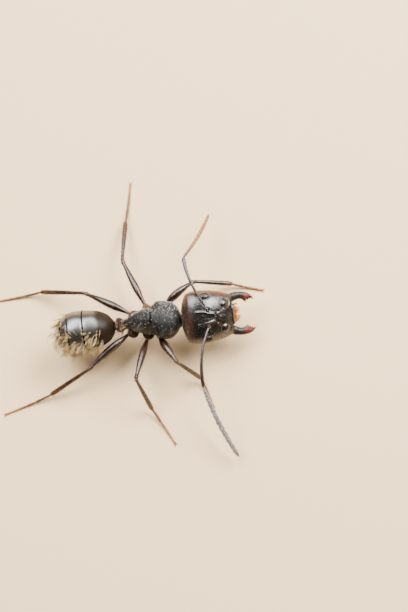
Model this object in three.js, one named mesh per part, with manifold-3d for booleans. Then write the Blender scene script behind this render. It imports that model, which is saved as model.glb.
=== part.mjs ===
// An eastern black carpenter ant (Camponotus pennsylvanicus), a medium worker, at life size.
// Millimetres. The ant heads along +X with its left side toward +Y, and stands on Z = 0.
// Every hard plate of the body is a solid of its own, parted from its neighbours by a thin gap.

import * as THREE from "three";
import { mergeVertices } from "three/addons/utils/BufferGeometryUtils.js";
import Module from "manifold-3d";

// Head
const headLength = 2.38;
const headWidth = 2.4;
const headDepth = 1.45;
const headCentre = [2.56, 0.16, 1.86];
const headTurn = 8; // degrees to the left
const headNod = 15; // degrees down
const headTilt = 21; // degrees down on the right side
const eyeLength = 0.48;
const eyeWidth = 0.38;
const eyeHeight = 0.17;
const mandibleLength = 1.05;
const mandibleThickness = 0.3;
const mandibleTeeth = 4;
const mandibleTurn = { left: 5, right: -2 }; // degrees each is closed toward the middle
const mandibleDroop = 4; // degrees

// Feelers
const feelerThickness = 0.5;
const scapeSway = 0.16;
const scapeBow = 0.2;
const funiculusRings = 11;
const feelers = [
  { side: "left", sign: 1, scapeLength: 2.6, heading: 114.5, rise: 10.6, funiculusLength: 3.38,
    funiculusHeading: 75.3, funiculusDrop: 38.4, sag: 0, sway: -0.1 },
  { side: "right", sign: -1, scapeLength: 2.78, heading: -96.2, rise: -7.9, funiculusLength: 3.49,
    funiculusHeading: -64.6, funiculusDrop: 22.8, sag: 0.05, sway: 0.12 },
];

// Trunk and petiole
const trunkFront = 1.36;
const trunkRear = -1.36;
const trunkWidth = 1.66;
const trunkTop = 2.68;
const trunkBottom = 1.16;
const pronotumSuture = 0.5;
const metanotalGroove = 0.07;
const neckRadius = 0.34;
const petioleTop = 2.08;
const petioleWidth = 0.64;

// Gaster
const gasterLength = 2.76;
const gasterWidth = 1.76;
const gasterDepth = 1.72;
const gasterFront = [-1.74, -0.09, 1.56];
const gasterTurn = 7; // degrees to the right
const gasterLift = 8; // degrees up toward the tip
const gasterEdges = [0.535, 0.79, 0.92]; // where each plate ends, as a share of the length

// Legs: shared lengths of each pair, then the stance of each leg, with angles in degrees
const legThickness = 0.5;
const femurThickness = 0.56;
const soleHeight = 0.22; // a tarsus lies with its centre line this high
const padDepth = 0.07;
const ankleHeight = 0.3;
const legPairs = {
  front: { femur: 1.8, tibia: 1.8, tarsus: 1.35 },
  middle: { femur: 2.45, tibia: 2.15, tarsus: 1.85 },
  hind: { femur: 2.5, tibia: 2.4, tarsus: 2.3 },
};
const stance = [
  { name: "front_left", pair: "front", coxa: [0.92, 0.36, 1.6], hip: [0.4, 0.8, 1.25],
    heading: 41, rise: -3, bow: 0.3, tibiaHeading: 2, tarsusHeading: -12 },
  { name: "front_right", pair: "front", coxa: [0.92, -0.36, 1.6], hip: [0.2, -0.52, 1.28],
    heading: -54, rise: 19, bow: 0.16, tibiaHeading: -28, tarsusHeading: -67 },
  { name: "middle_left", pair: "middle", coxa: [-0.2, 0.4, 1.5], hip: [-0.5, 0.95, 1.06],
    heading: 117.5, rise: 0, bow: 0.1, tibiaHeading: 92, tarsusHeading: 86 },
  { name: "middle_right", pair: "middle", coxa: [-0.2, -0.4, 1.5], hip: [-0.33, -0.5, 1.1],
    heading: -97, rise: 26, bow: 0.1, tibiaHeading: -71, tarsusHeading: -56 },
  { name: "hind_left", pair: "hind", coxa: [-0.86, 0.34, 1.5], hip: [-1.12, 0.56, 1.14],
    heading: 154, rise: -2, bow: 0.14, tibiaHeading: 172, tarsusHeading: -172 },
  { name: "hind_right", pair: "hind", coxa: [-0.86, -0.34, 1.5], hip: [-1.15, -0.3, 1.12],
    heading: -138, rise: 4, bow: 0.14, tibiaHeading: -156, tarsusHeading: -160 },
];

const gap = 0.02;
const up = new THREE.Vector3(0, 0, 1);

// Colours, as sRGB
const black = { color: 0x17120f, roughness: 0.3 };
const matteBlack = { color: 0x211c19, roughness: 0.62 };
const redBrown = { color: 0x3a1710, roughness: 0.35 };
const orange = { color: 0xa0562a, roughness: 0.45 };
const banded = { color: 0x2c2723, roughness: 0.42 };

const wasm = await Module();
wasm.setup();

const radians = THREE.MathUtils.degToRad;
const vector = (list) => new THREE.Vector3(...list);

// A smooth function through a few [place, value] pairs, with a flat run past each end.
function profile(...pairs) {
  const slopeAt = (i) => {
    const before = pairs[Math.max(i - 1, 0)];
    const after = pairs[Math.min(i + 1, pairs.length - 1)];
    return (after[1] - before[1]) / (after[0] - before[0]);
  };
  return (place) => {
    if (place <= pairs[0][0]) return pairs[0][1];
    const next = pairs.findIndex((pair) => pair[0] >= place);
    if (next < 0) return pairs[pairs.length - 1][1];
    const [from, start] = pairs[next - 1];
    const [to, end] = pairs[next];
    const span = to - from;
    const t = (place - from) / span;
    return start * (1 + 2 * t) * (1 - t) ** 2 + end * t * t * (3 - 2 * t)
      + slopeAt(next - 1) * span * t * (1 - t) ** 2 - slopeAt(next) * span * t * t * (1 - t);
  };
}

// A closed body along a curve. A sphere's rings are laid across the curve, and each is scaled to
// half its width at that place, and to its height above and its depth below the curve.
function bodyAlong(curve, { width, above, below, around = 12, along = 10, square = 2 }, grow = 0) {
  const sphere = new THREE.SphereGeometry(1, around, along);
  const position = sphere.getAttribute("position");
  const rounded = (value) => Math.sign(value) * Math.abs(value) ** (2 / square);
  for (let i = 0; i < position.count; i += 1) {
    const [x, y, z] = [position.getX(i), position.getY(i), position.getZ(i)];
    const row = Math.round(Math.acos(THREE.MathUtils.clamp(y, -1, 1)) / Math.PI * along);
    const place = THREE.MathUtils.clamp((row - 1) / (along - 2), 0, 1);
    const ring = Math.hypot(x, z);
    const [across, high] = ring > 1e-6 ? [rounded(x / ring), rounded(z / ring)] : [0, 0];
    const forward = curve.getTangent(place);
    const side = new THREE.Vector3().crossVectors(up, forward).normalize();
    const rise = new THREE.Vector3().crossVectors(forward, side);
    const tall = high > 0 ? above(place) : below(place);
    const point = curve.getPoint(place)
      .addScaledVector(side, across * (width(place) + grow))
      .addScaledVector(rise, high * (tall + grow));
    if (row <= 1) point.addScaledVector(forward, -grow);
    if (row >= along - 1) point.addScaledVector(forward, grow);
    position.setXYZ(i, point.x, point.y, point.z);
  }
  sphere.computeVertexNormals();
  return sphere;
}

// A tube-like body, as thick across as it is tall.
function limb(curve, halfThickness, detail, grow = 0) {
  return bodyAlong(curve, {
    width: halfThickness, above: halfThickness, below: halfThickness, ...detail,
  }, grow);
}

// Half the thickness along a limb whose two ends are rounded off over a share of its length.
function roundEnds(half, share, swell = () => 1) {
  return (place) => {
    const toEnd = Math.min(place, 1 - place, share) / share;
    return half * swell(place) * Math.sqrt(0.16 + 0.84 * toEnd * (2 - toEnd));
  };
}

function toSolid(geometry) {
  const bare = geometry.clone();
  bare.deleteAttribute("normal");
  bare.deleteAttribute("uv");
  const merged = mergeVertices(bare, 1e-4);
  return new wasm.Manifold(new wasm.Mesh({
    numProp: 3,
    vertProperties: merged.getAttribute("position").array,
    triVerts: new Uint32Array(merged.index.array),
  }));
}

function toGeometry(solid) {
  const { vertProperties, triVerts } = solid.getMesh();
  const geometry = new THREE.BufferGeometry();
  geometry.setAttribute("position", new THREE.BufferAttribute(vertProperties, 3));
  geometry.setIndex(new THREE.BufferAttribute(triVerts, 1));
  const faceted = geometry.toNonIndexed();
  faceted.computeVertexNormals();
  return faceted;
}

// The geometry without what it shares with any of the cutters.
function cut(geometry, ...cutters) {
  const left = cutters.reduce((solid, cutter) => solid.subtract(toSolid(cutter)), toSolid(geometry));
  return toGeometry(left);
}

// The stretch of a geometry between two planes that cross a line from start toward its direction.
function stretch(geometry, start, direction, from, to) {
  const size = 12;
  const slab = new THREE.BoxGeometry(size, size, to - from);
  slab.translate(0, 0, (from + to) / 2);
  slab.applyQuaternion(new THREE.Quaternion().setFromUnitVectors(up, direction.clone().normalize()));
  slab.translate(start.x, start.y, start.z);
  return toGeometry(toSolid(geometry).intersect(toSolid(slab)));
}

function node(name, geometry, look) {
  const mesh = new THREE.Mesh(geometry, new THREE.MeshStandardMaterial({ metalness: 0, ...look }));
  mesh.name = name;
  return mesh;
}

// The direction with a heading, turned left from +X, and a rise above level.
function pointing(heading, rise) {
  const level = Math.cos(radians(rise));
  return new THREE.Vector3(
    Math.cos(radians(heading)) * level,
    Math.sin(radians(heading)) * level,
    Math.sin(radians(rise)),
  );
}

// A bowed line from one point to another, lifted in its middle and swayed toward the ant's rear.
function bowed(from, to, bow, sway = 0) {
  const middle = from.clone().add(to).multiplyScalar(0.5);
  middle.z += 2 * bow;
  middle.x -= 2 * sway;
  return new THREE.QuadraticBezierCurve3(from, middle, to);
}

const ant = new THREE.Group();

// The head's own frame: +X to the front of the face, +Y to its left, +Z out of the top.
const headFrame = new THREE.Group();
headFrame.position.set(...headCentre);
headFrame.rotation.set(radians(headTilt), radians(headNod), radians(headTurn), "ZYX");
headFrame.updateMatrixWorld(true);
ant.add(headFrame);

function headBody(grow = 0) {
  const half = headWidth / 2;
  const deep = headDepth / 2;
  const line = new THREE.LineCurve3(
    new THREE.Vector3(-headLength / 2, 0, 0),
    new THREE.Vector3(headLength / 2, 0, -0.1),
  );
  return bodyAlong(line, {
    width: profile([0, half * 0.5], [0.05, half * 0.78], [0.16, half * 0.95], [0.34, half], [0.7, half * 0.92],
      [0.95, half * 0.74], [1, half * 0.68]),
    above: profile([0, deep * 0.3], [0.06, deep * 0.58], [0.25, deep * 0.93], [0.5, deep], [0.8, deep * 0.72],
      [1, deep * 0.36]),
    below: profile([0, deep * 0.3], [0.06, deep * 0.55], [0.25, deep * 0.88], [0.5, deep * 0.94], [0.8, deep * 0.7],
      [1, deep * 0.4]),
    around: 22, along: 14, square: 2.3,
  }, grow);
}

function eyeBody(sign, grow = 0) {
  const eye = new THREE.SphereGeometry(1, 12, 8);
  eye.rotateX(Math.PI / 2);
  eye.scale(eyeLength / 2 + grow, eyeWidth / 2 + grow, eyeHeight + grow);
  eye.rotateX(-sign * radians(38));
  eye.translate(-0.1, sign * 0.97, 0.42);
  return eye;
}

// The labrum and its bristles, under the middle of the clypeus.
function labrumBody() {
  const labrum = new THREE.SphereGeometry(1, 10, 6);
  labrum.scale(0.24, 0.34, 0.14);
  labrum.translate(headLength / 2 + 0.13, 0, -0.16);
  return cut(labrum, headBody(gap));
}

// A mandible seen from above: a stalk, an outer edge that bows out and round to the tip, teeth
// along the inner edge of the blade, and a plain margin back to the base.
function mandibleBody(side, sign) {
  const tip = new THREE.Vector2(mandibleLength, -0.11);
  const basalTooth = new THREE.Vector2(0.62 * mandibleLength, -0.2);
  const outline = new THREE.Shape();
  outline.moveTo(-0.12, 0.19);
  outline.bezierCurveTo(0.25, 0.34, 0.85, 0.32, tip.x, tip.y);
  for (let tooth = 1; tooth <= mandibleTeeth; tooth += 1) {
    const share = (tooth - 0.45) / mandibleTeeth;
    const notch = tip.clone().lerp(basalTooth, share);
    const point = tip.clone().lerp(basalTooth, tooth / mandibleTeeth);
    outline.lineTo(notch.x, notch.y + 0.04 + 0.07 * share);
    outline.lineTo(point.x, point.y);
  }
  outline.quadraticCurveTo(0.34, 0.04, -0.12, -0.19);
  const blade = new THREE.ExtrudeGeometry(outline, {
    depth: mandibleThickness, bevelEnabled: false, curveSegments: 8,
  });
  blade.translate(0, 0, -mandibleThickness / 2);
  if (sign < 0) {
    blade.rotateX(Math.PI);
  }
  blade.rotateZ(-sign * radians(mandibleTurn[side]));
  blade.rotateY(radians(mandibleDroop));
  blade.translate(headLength / 2 - 0.04, sign * 0.72, -0.14);
  return cut(blade, headBody(gap));
}

headFrame.add(node("head", cut(headBody(), eyeBody(1, gap), eyeBody(-1, gap)), black));
headFrame.add(node("labrum", labrumBody(), orange));
for (const [side, sign] of [["left", 1], ["right", -1]]) {
  headFrame.add(node(`eye_${side}`, eyeBody(sign), black));
  headFrame.add(node(`mandible_${side}`, mandibleBody(side, sign), redBrown));
}

// Feelers: a bare scape out of the socket beside the clypeus, and a ringed funiculus past the elbow.
const headAround = headBody(gap).applyMatrix4(headFrame.matrixWorld);
for (const feeler of feelers) {
  const { side, sign, scapeLength, funiculusLength } = feeler;
  const half = feelerThickness / 2;
  const socket = headFrame.localToWorld(new THREE.Vector3(0, sign * 0.35, 0.6));
  const elbow = socket.clone().addScaledVector(pointing(feeler.heading, feeler.rise), scapeLength);
  const funiculusWay = pointing(feeler.funiculusHeading, -feeler.funiculusDrop);
  const tip = elbow.clone().addScaledVector(funiculusWay, funiculusLength);
  const scapeLine = bowed(socket, elbow, scapeBow, scapeSway);
  const scapeHalf = roundEnds(half, 0.12, profile([0, 1], [1, 1.08]));
  const detail = { around: 8, along: 8 };
  const scape = limb(scapeLine, scapeHalf, detail);
  const eyeAround = eyeBody(sign, gap).applyMatrix4(headFrame.matrixWorld);
  ant.add(node(`scape_${side}`, cut(scape, headAround, eyeAround), black));
  const ringed = (place) => 1 + 0.07 * Math.cos(2 * Math.PI * place * funiculusRings);
  const funiculusLine = bowed(elbow, tip, feeler.sag, feeler.sway);
  const funiculus = limb(funiculusLine, roundEnds(half, 0.08, ringed), {
    around: 7, along: 2 * funiculusRings + 2,
  });
  ant.add(node(`funiculus_${side}`, cut(funiculus, limb(scapeLine, scapeHalf, detail, gap)), orange));
}

// The trunk is shaped whole and parted at the pronotum's suture and at the metanotal groove.
function trunkBody(grow = 0) {
  const half = trunkWidth / 2;
  const middle = (trunkTop + trunkBottom) / 2;
  const high = trunkTop - middle;
  const line = new THREE.LineCurve3(
    new THREE.Vector3(trunkRear, 0, middle - 0.24),
    new THREE.Vector3(trunkFront, 0.1, middle + 0.1),
  );
  return bodyAlong(line, {
    width: profile([0, half * 0.22], [0.17, half * 0.4], [0.33, half * 0.63], [0.42, half * 0.69],
      [0.51, half * 0.68], [0.62, half * 0.89], [0.7, half * 1.01], [0.8, half], [0.89, half * 0.84],
      [1, half * 0.4]),
    above: profile([0, high * 0.14], [0.08, high * 0.36], [0.2, high * 0.76], [0.34, high * 0.95], [0.47, high * 0.98],
      [0.56, high * 1.04], [0.72, high], [0.88, high * 0.74], [1, high * 0.28]),
    below: profile([0, high * 0.3], [0.12, high * 0.58], [0.4, high * 0.9], [0.7, high * 1.0], [0.9, high * 0.8],
      [1, high * 0.36]),
    around: 16, along: 16, square: 2.2,
  }, grow);
}

const trunk = trunkBody();
const trunkAround = trunkBody(gap);
const ahead = new THREE.Vector3(1, 0, 0.25);
const sutureAt = new THREE.Vector3(pronotumSuture, 0, trunkTop);
const grooveAt = new THREE.Vector3(metanotalGroove, 0, trunkTop);
const behindGroove = new THREE.Vector3(1, 0, -0.12);
const frontOfGroove = stretch(trunk, grooveAt, behindGroove, gap / 2, 5);
const pronotum = stretch(frontOfGroove, sutureAt, ahead, gap / 2, 5);
ant.add(node("pronotum", cut(pronotum, headAround), matteBlack));
ant.add(node("mesonotum", stretch(frontOfGroove, sutureAt, ahead, -5, -gap / 2), matteBlack));
ant.add(node("propodeum", stretch(trunk, grooveAt, behindGroove, -5, -gap / 2), matteBlack));

// The neck runs from inside the front of the pronotum to the back of the head.
const neckLine = new THREE.LineCurve3(
  new THREE.Vector3(trunkFront - 0.36, 0, 1.64),
  headFrame.localToWorld(new THREE.Vector3(-0.62, 0, -0.3)),
);
const neck = limb(neckLine, () => neckRadius, { around: 12, along: 5 });
ant.add(node("neck", cut(neck, trunkAround, headAround), matteBlack));

// The petiole: a low stalk under one upright scale, rounded across its top.
function petioleBody(grow = 0) {
  const half = petioleWidth / 2;
  const scaleLine = new THREE.LineCurve3(
    new THREE.Vector3(-1.6, 0, 1.22),
    new THREE.Vector3(-1.52, 0.0, petioleTop),
  );
  // Laid along a near-upright line, the side is across the ant and the rise points to its rear.
  return bodyAlong(scaleLine, {
    width: profile([0, half * 0.5], [0.3, half * 0.72], [0.75, half], [0.93, half * 0.84], [1, half * 0.5]),
    above: profile([0, 0.22], [0.35, 0.2], [0.8, 0.12], [1, 0.05]),
    below: profile([0, 0.2], [0.35, 0.17], [0.8, 0.1], [1, 0.05]),
    around: 14, along: 10,
  }, grow);
}

function stalkBody(grow = 0) {
  const line = new THREE.LineCurve3(new THREE.Vector3(-1.98, 0, 1.42), new THREE.Vector3(-1.2, 0, 1.42));
  return bodyAlong(line, {
    width: () => 0.2, above: () => 0.17, below: () => 0.2, around: 12, along: 4,
  }, grow);
}

const stalkAndScale = toGeometry(toSolid(petioleBody()).add(toSolid(stalkBody())));
ant.add(node("petiole", cut(stalkAndScale, trunkAround), matteBlack));

// The gaster, shaped whole and parted where one plate slides under the next.
const gasterAxis = pointing(180 + gasterTurn, gasterLift);
const gasterStart = vector(gasterFront);
const gasterEnd = gasterStart.clone().addScaledVector(gasterAxis, gasterLength);
function gasterBody(grow = 0) {
  const half = gasterWidth / 2;
  const deep = gasterDepth / 2;
  const egg = profile([0, 0.2], [0.04, 0.42], [0.12, 0.7], [0.28, 0.93], [0.44, 1], [0.6, 1.03], [0.72, 0.99],
    [0.83, 0.83], [0.92, 0.58], [0.98, 0.28], [1, 0.1]);
  return bodyAlong(new THREE.LineCurve3(gasterStart, gasterEnd), {
    width: (place) => half * egg(place),
    above: (place) => deep * egg(place) * 1.02,
    below: (place) => deep * egg(place) * 0.98,
    around: 18, along: 18,
  }, grow);
}

const petioleAround = toGeometry(toSolid(petioleBody(gap)).add(toSolid(stalkBody(gap))));
const gaster = cut(gasterBody(), petioleAround);
const gasterAround = gasterBody(gap);
const plateEnds = [-0.2, ...gasterEdges.map((share) => share * gasterLength), gasterLength + 0.5];
for (let plate = 0; plate < plateEnds.length - 1; plate += 1) {
  const from = plateEnds[plate] + gap / 2;
  const to = plateEnds[plate + 1] - gap / 2;
  ant.add(node(`gaster_${plate + 1}`, stretch(gaster, gasterStart, gasterAxis, from, to), banded));
}

// One leg, from the body out: coxa, femur, tibia, and a tarsus that lies flat on the floor.
function addLeg({ name, pair, coxa, hip, heading, rise, bow, tibiaHeading, tarsusHeading }) {
  const lengths = legPairs[pair];
  const hipAt = vector(hip);
  const knee = hipAt.clone().addScaledVector(pointing(heading, rise), lengths.femur);
  const drop = THREE.MathUtils.radToDeg(Math.asin((knee.z - ankleHeight) / lengths.tibia));
  const ankle = knee.clone().addScaledVector(pointing(tibiaHeading, -drop), lengths.tibia);
  const toe = ankle.clone().addScaledVector(pointing(tarsusHeading, 0), lengths.tarsus);
  const half = legThickness / 2;

  const coxaDetail = { around: 9, along: 6 };
  const coxaHalf = roundEnds(0.3, 0.3, profile([0, 1.0], [1, 0.86]));
  const coxaLine = new THREE.LineCurve3(vector(coxa), hipAt);
  const coxaBody = limb(coxaLine, coxaHalf, coxaDetail);
  ant.add(node(`coxa_${name}`, cut(coxaBody, trunkAround, petioleAround), matteBlack));

  const femurDetail = { around: 8, along: 8 };
  const femurHalf = roundEnds(femurThickness / 2, 0.16, profile([0, 0.94], [0.4, 1.06], [1, 0.9]));
  const femurLine = bowed(hipAt, knee, bow);
  const femur = limb(femurLine, femurHalf, femurDetail);
  const coxaAround = limb(coxaLine, coxaHalf, coxaDetail, gap);
  ant.add(node(`femur_${name}`, cut(femur, coxaAround, trunkAround, gasterAround), black));

  const tibiaDetail = { around: 7, along: 7 };
  const tibiaHalf = roundEnds(half, 0.1, profile([0, 0.98], [0.7, 1.02], [1, 1]));
  const tibiaLine = new THREE.LineCurve3(knee, ankle);
  const tibia = limb(tibiaLine, tibiaHalf, tibiaDetail);
  ant.add(node(`tibia_${name}`, cut(tibia, limb(femurLine, femurHalf, femurDetail, gap)), redBrown));

  const sole = ankle.clone().setZ(soleHeight);
  const tarsusLine = new THREE.LineCurve3(sole, toe.setZ(soleHeight));
  const joints = 5;
  const stepped = (place) => 0.98 + 0.06 * Math.cos(2 * Math.PI * place * joints);
  const tarsus = limb(tarsusLine, roundEnds(half, 0.1, stepped), { around: 8, along: 2 * joints + 2 });
  const cutTarsus = cut(flatOnFloor(tarsus), limb(tibiaLine, tibiaHalf, tibiaDetail, gap));
  ant.add(node(`tarsus_${name}`, cutTarsus, orange));
}

// Whatever lies within a pad's depth of the floor is set on it, which leaves a small flat sole.
function flatOnFloor(geometry) {
  const position = geometry.getAttribute("position");
  for (let i = 0; i < position.count; i += 1) {
    if (position.getZ(i) < padDepth) position.setZ(i, 0);
  }
  return geometry;
}

stance.forEach(addLeg);

// The origin goes to the middle of the ant's footprint, on the floor.
const extent = new THREE.Box3().setFromObject(ant);
ant.position.set(-(extent.min.x + extent.max.x) / 2, -(extent.min.y + extent.max.y) / 2, 0);

export default ant;
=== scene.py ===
import math

import bmesh
import bpy
import numpy as np
from mathutils import Euler, Matrix, Vector, kdtree


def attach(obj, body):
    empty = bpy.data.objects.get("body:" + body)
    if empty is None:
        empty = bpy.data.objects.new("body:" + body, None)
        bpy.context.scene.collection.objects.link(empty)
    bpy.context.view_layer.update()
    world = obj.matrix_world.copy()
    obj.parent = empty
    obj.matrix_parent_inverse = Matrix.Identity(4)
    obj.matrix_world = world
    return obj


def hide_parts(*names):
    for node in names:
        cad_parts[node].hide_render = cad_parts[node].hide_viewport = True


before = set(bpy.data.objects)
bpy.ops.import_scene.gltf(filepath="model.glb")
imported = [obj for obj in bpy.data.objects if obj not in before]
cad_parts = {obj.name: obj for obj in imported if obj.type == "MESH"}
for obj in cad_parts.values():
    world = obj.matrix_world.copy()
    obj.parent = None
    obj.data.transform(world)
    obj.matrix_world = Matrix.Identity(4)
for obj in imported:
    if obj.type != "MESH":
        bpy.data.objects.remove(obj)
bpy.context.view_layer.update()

# Shapes are made in millimetres in the ant's own frame: +X ahead, +Y to its left, the floor at 0.
# The model's origin is the middle of the ant's footprint, which lies behind its waist.
footprintShift = Vector((1.5979, -0.4582, 0))
mm = 0.001
antToModel = Matrix.Scale(mm, 4) @ Matrix.Translation(footprintShift)
up = Vector((0, 0, 1))
rng = np.random.default_rng(7)


# Curves and profiles

def clamp(value, low=0.0, high=1.0):
    return max(low, min(high, value))


def eased(value, low, high):
    # 0 before low, 1 past high, and smooth between
    share = clamp((value - low) / (high - low))
    return share * share * (3 - 2 * share)


def hump(distance, width):
    return math.exp(-(distance / width) ** 2)


def profile(*pairs, size=1):
    # A smooth function through a few (place, value) pairs, flat past each end. The values are shares of size.
    pairs = [(place, value * size) for place, value in pairs]
    last = len(pairs) - 1

    def slopeAt(i):
        before, after = pairs[max(i - 1, 0)], pairs[min(i + 1, last)]
        return (after[1] - before[1]) / (after[0] - before[0])

    def valueAt(place):
        if place <= pairs[0][0]:
            return pairs[0][1]
        if place >= pairs[last][0]:
            return pairs[last][1]
        i = next(i for i, pair in enumerate(pairs) if pair[0] >= place)
        (start, low), (end, high) = pairs[i - 1], pairs[i]
        span = end - start
        t = (place - start) / span
        rise = low * (1 + 2 * t) * (1 - t) ** 2 + high * t * t * (3 - 2 * t)
        return rise + slopeAt(i - 1) * span * t * (1 - t) ** 2 - slopeAt(i) * span * t * t * (1 - t)

    return valueAt


def closing(shape, start, end):
    # the same profile with both ends rounded off to nothing
    def valueAt(place):
        reach = clamp(min(place / start, (1 - place) / end))
        return shape(place) * math.sqrt(reach * (2 - reach))

    return valueAt


def straight(start, end):
    start, end = Vector(start), Vector(end)
    ahead = (end - start).normalized()
    return lambda place: (start.lerp(end, place), ahead)


def bent(start, middle, end):
    # a quadratic curve drawn by its middle handle
    start, middle, end = Vector(start), Vector(middle), Vector(end)

    def pointAt(place):
        point = start * (1 - place) ** 2 + middle * 2 * place * (1 - place) + end * place * place
        ahead = (middle - start) * (1 - place) + (end - middle) * place
        return point, ahead.normalized()

    return pointAt


def bowed(start, end, bow, sway=0.0):
    # lifted in its middle, and swayed toward the ant's rear
    return bent(start, (start + end) / 2 + Vector((-2 * sway, 0, 2 * bow)), end)


def pointing(heading, rise):
    # headings turn left from straight ahead, and a rise is above level, both in degrees
    turn, lift = math.radians(heading), math.radians(rise)
    return Vector((math.cos(turn) * math.cos(lift), math.sin(turn) * math.cos(lift), math.sin(lift)))


# Mesh tools

def bodyAlong(line, width, above=None, below=None, ends=(0.06, 0.06), rings=40, around=24, square=2.0,
              gather=0.6):
    # A sphere whose rings are laid across a line and scaled to half its width, its height and its depth.
    # The ends are the shares of its length that are rounded off, square makes it boxy, and gather crowds its
    # rings toward both ends.
    above = above or width
    below = below or above
    if ends:
        width, above, below = (closing(shape, *ends) for shape in (width, above, below))
    bm = bmesh.new()
    bm.loops.layers.uv.new("wrap")
    bmesh.ops.create_uvsphere(bm, u_segments=around, v_segments=rings, radius=1, calc_uvs=True)
    placeLayer = bm.verts.layers.float.new("place")
    hoops = []
    for ring in range(rings + 1):
        share = ring / rings
        place = clamp(share - gather * math.sin(2 * math.pi * share) / (2 * math.pi))
        centre, ahead = line(place)
        side = up.cross(ahead).normalized()
        hoops.append((place, centre, side, ahead.cross(side), width(place), above(place), below(place)))
    for vert in bm.verts:
        ring = round(math.acos(clamp(-vert.co.z, -1, 1)) / math.pi * rings)
        place, centre, side, rise, wide, high, deep = hoops[ring]
        reach = math.hypot(vert.co.x, vert.co.y) or 1
        across, tall = vert.co.x / reach, vert.co.y / reach
        if ring in (0, rings):
            across = tall = 0
        across = math.copysign(abs(across) ** (2 / square), across)
        tall = math.copysign(abs(tall) ** (2 / square), tall)
        vert.co = centre + side * (across * wide) + rise * (tall * (high if tall > 0 else deep))
        vert[placeLayer] = place
    return bm


def sculpt(bm, heightAt):
    # moves each point along its normal by a height that depends on where it is
    bm.normal_update()
    moves = [vert.normal * heightAt(vert.co, vert.normal) for vert in bm.verts]
    for vert, move in zip(bm.verts, moves):
        vert.co += move


def mark(bm, name, amountAt):
    # stores an amount on each point, which a finish reads by name
    layer = bm.verts.layers.float.new(name)
    bm.normal_update()
    for vert in bm.verts:
        vert[layer] = amountAt(vert.co, vert.normal)


def markByPlace(bm, name, amountAt):
    # the same, from how far along the body each point lies
    layer = bm.verts.layers.float.new(name)
    along = bm.verts.layers.float["place"]
    for vert in bm.verts:
        vert[layer] = amountAt(vert[along])


def meshFrom(bm, name):
    mesh = bpy.data.meshes.new(name)
    bm.to_mesh(mesh)
    bm.free()
    return mesh


def joined(*parts):
    whole = parts[0]
    for part in parts[1:]:
        mesh = meshFrom(part, "part")
        whole.from_mesh(mesh)
        bpy.data.meshes.remove(mesh)
    return whole


def sliced(bm, point, normal, near, **cleared):
    everything = [*bm.verts, *bm.edges, *bm.faces]
    bmesh.ops.bisect_plane(bm, geom=everything, dist=near, plane_co=point, plane_no=normal, **cleared)


def keepBeside(bm, point, normal, behind):
    # cuts a closed shape at a plane, keeps one side of it, and closes the cut
    sliced(bm, point, normal, 1e-5, clear_outer=behind, clear_inner=not behind)
    rim = [edge for edge in bm.edges if edge.is_boundary]
    bmesh.ops.holes_fill(bm, edges=rim, sides=0)


def placed(name, data):
    made = bpy.data.objects.new(name, data)
    bpy.context.scene.collection.objects.link(made)
    return made


def addPiece(bm, name, finish, nodes):
    bm.transform(antToModel)
    mesh = meshFrom(bm, name)
    mesh.shade_smooth()
    return linkPiece(mesh, finish, nodes)


def linkPiece(mesh, finish, nodes):
    piece = placed(mesh.name, mesh)
    mesh.materials.append(finish.material)
    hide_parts(*nodes)
    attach(piece, "root")
    return piece


# Shader tools

class Wire:
    # an output of a node, with arithmetic that adds Math nodes

    def __init__(self, finish, socket):
        self.finish = finish
        self.socket = socket

    def combine(self, operation, first, second):
        return self.finish.node("Math", {"operation": operation}, {0: first, 1: second})

    def __add__(self, other):
        return self.combine("ADD", self, other)

    def __sub__(self, other):
        return self.combine("SUBTRACT", self, other)

    def __rsub__(self, other):
        return self.combine("SUBTRACT", other, self)

    def __mul__(self, other):
        return self.combine("MULTIPLY", self, other)


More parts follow.
